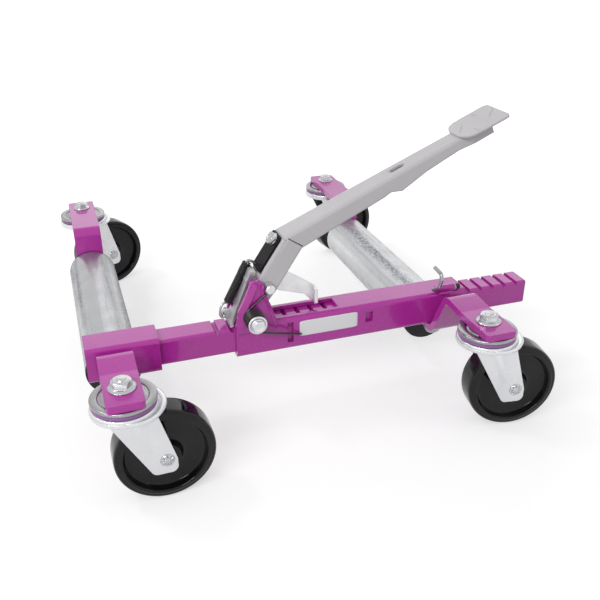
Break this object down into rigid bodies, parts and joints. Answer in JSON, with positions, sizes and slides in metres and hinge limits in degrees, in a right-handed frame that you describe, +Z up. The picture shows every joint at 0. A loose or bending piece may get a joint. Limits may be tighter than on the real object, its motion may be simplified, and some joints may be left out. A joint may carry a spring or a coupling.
{
  "type": "vehicle positioning jack",
  "caption": "Wheeled jack that draws two rollers together under a tyre with a ratchet foot pedal, so that a standing vehicle can be lifted and rolled sideways on swivel casters.",
  "frame": {"origin": "on the floor, below the rail's axis and midway between the two rollers at rest", "axes": "+X along the rail towards its free end, +Y from the pedal side along the rollers, +Z up"},
  "size_m": [0.5376, 0.578, 0.3255],
  "materials": {
    "purple_paint": "glossy magenta-purple powder coat",
    "pedal_paint": "satin grey-lilac paint",
    "zinc_steel": "bright zinc plate",
    "roller_zinc": "zinc plate with lengthwise streaks",
    "fork_zinc": "pressed bright zinc sheet",
    "bright_steel": "bright blasted steel",
    "black_wheel": "glossy black moulding",
    "violet_seal": "violet ring",
    "black_bush": "black nylon",
    "black_spring": "blackened spring steel",
    "black_strap": "black strip"
  },
  "bodies": {
    "right_frame": {"outer_tube": "purple_paint", "right_near_strap": "purple_paint", "right_far_strap": "purple_paint", "right_roller_axle": "zinc_steel", "right_king_bolts": "zinc_steel", "right_top_races": "zinc_steel", "right_seal_rings": "violet_seal", "pedal_ear_near": "purple_paint", "pedal_ear_far": "purple_paint", "pedal_pivot_bolt": "zinc_steel", "pivot_washer": "zinc_steel", "hold_pawl_pin": "purple_paint", "torsion_spring": "black_spring", "latch_barrel": "purple_paint"},
    "left_frame": {"left_sleeve": "purple_paint", "rack_bar": "purple_paint", "rack_end_cap": "purple_paint", "left_near_strap": "purple_paint", "left_far_strap": "purple_paint", "left_roller_axle": "zinc_steel", "left_king_bolts": "zinc_steel", "left_top_races": "zinc_steel", "left_seal_rings": "violet_seal"},
    "right_roller": {"right_roller_tube": "roller_zinc", "right_roller_bushes": "black_bush"},
    "left_roller": {"left_roller_tube": "roller_zinc", "left_roller_bushes": "black_bush"},
    "pedal": {"lower_arm": "pedal_paint", "upper_arm": "pedal_paint", "foot_plate": "pedal_paint", "pedal_pivot_bush": "zinc_steel", "pawl_pin": "zinc_steel", "elbow_bolt": "zinc_steel", "release_strap": "black_strap"},
    "drive_pawl": {"drive_pawl": "bright_steel"},
    "hold_pawl": {"hold_pawl": "bright_steel", "drawbar_spring": "black_spring", "drawbar_hooks": "zinc_steel"},
    "latch": {"latch_rod": "zinc_steel", "latch_washer": "zinc_steel", "latch_cap": "black_bush"},
    "left_near_caster": {"left_near_fork": "fork_zinc", "left_near_wheel_pin": "zinc_steel"},
    "left_near_wheel": {"left_near_wheel": "black_wheel", "left_near_hub_bush": "black_bush"},
    "right_near_caster": {"right_near_fork": "fork_zinc", "right_near_wheel_pin": "zinc_steel"},
    "right_near_wheel": {"right_near_wheel": "black_wheel", "right_near_hub_bush": "black_bush"},
    "left_far_caster": {"left_far_fork": "fork_zinc", "left_far_wheel_pin": "zinc_steel"},
    "left_far_wheel": {"left_far_wheel": "black_wheel", "left_far_hub_bush": "black_bush"},
    "right_far_caster": {"right_far_fork": "fork_zinc", "right_far_wheel_pin": "zinc_steel"},
    "right_far_wheel": {"right_far_wheel": "black_wheel", "right_far_hub_bush": "black_bush"}
  },
  "joints": [
    {"name": "rail_slide", "type": "slide", "parent": "right_frame", "child": "left_frame", "axis": [1, 0, 0], "range_m": [-0.12, 0.07]},
    {"name": "right_roller_spin", "type": "hinge", "parent": "right_frame", "child": "right_roller", "pos_m": [0.194, 0.16, 0.0655], "axis": [0, 1, 0], "continuous": true},
    {"name": "left_roller_spin", "type": "hinge", "parent": "left_frame", "child": "left_roller", "pos_m": [-0.194, 0.16, 0.0655], "axis": [0, 1, 0], "continuous": true},
    {"name": "pedal_hinge", "type": "hinge", "parent": "right_frame", "child": "pedal", "pos_m": [-0.043, 0, 0.13], "axis": [0, 1, 0], "range_deg": [0, 34], "stiffness_Nm_per_rad": 1.2, "springref_deg": -91.67, "deforming": ["torsion_spring", "drawbar_spring", "drawbar_hooks"]},
    {"name": "drive_pawl_hinge", "type": "hinge", "parent": "pedal", "child": "drive_pawl", "pos_m": [-0.0225, 0, 0.1595], "axis": [0, 1, 0], "range_deg": [-43, 2]},
    {"name": "hold_pawl_hinge", "type": "hinge", "parent": "right_frame", "child": "hold_pawl", "pos_m": [-0.04, 0, 0.1645], "axis": [0, 1, 0], "range_deg": [0, 10], "deforming": ["drawbar_spring", "drawbar_hooks"]},
    {"name": "latch_hinge", "type": "hinge", "parent": "right_frame", "child": "latch", "pos_m": [0.19, -0.017, 0.1217], "axis": [1, 0, 0], "range_deg": [-15, 15]},
    {"name": "left_near_swivel", "type": "hinge", "parent": "left_frame", "child": "left_near_caster", "pos_m": [-0.194, -0.116, 0.11], "axis": [0, 0, 1], "continuous": true},
    {"name": "left_near_wheel_spin", "type": "hinge", "parent": "left_near_caster", "child": "left_near_wheel", "pos_m": [-0.16201, -0.11544, 0.0508], "axis": [-0.0175, 0.9998, 0], "continuous": true},
    {"name": "right_near_swivel", "type": "hinge", "parent": "right_frame", "child": "right_near_caster", "pos_m": [0.194, -0.116, 0.11], "axis": [0, 0, 1], "continuous": true},
    {"name": "right_near_wheel_spin", "type": "hinge", "parent": "right_near_caster", "child": "right_near_wheel", "pos_m": [0.22561, -0.12101, 0.0508], "axis": [0.1564, 0.9877, 0], "continuous": true},
    {"name": "left_far_swivel", "type": "hinge", "parent": "left_frame", "child": "left_far_caster", "pos_m": [-0.194, 0.388, 0.11], "axis": [0, 0, 1], "continuous": true},
    {"name": "left_far_wheel_spin", "type": "hinge", "parent": "left_far_caster", "child": "left_far_wheel", "pos_m": [-0.16393, 0.39894, 0.0508], "axis": [-0.342, 0.9397, 0], "continuous": true},
    {"name": "right_far_swivel", "type": "hinge", "parent": "right_frame", "child": "right_far_caster", "pos_m": [0.194, 0.388, 0.11], "axis": [0, 0, 1], "continuous": true},
    {"name": "right_far_wheel_spin", "type": "hinge", "parent": "right_far_caster", "child": "right_far_wheel", "pos_m": [0.2253, 0.39465, 0.0508], "axis": [-0.2079, 0.9781, 0], "continuous": true}
  ],
  "couplings": [
    {"joint": "drive_pawl_hinge", "follows": "pedal_hinge", "ratio": -1.21}
  ]
}
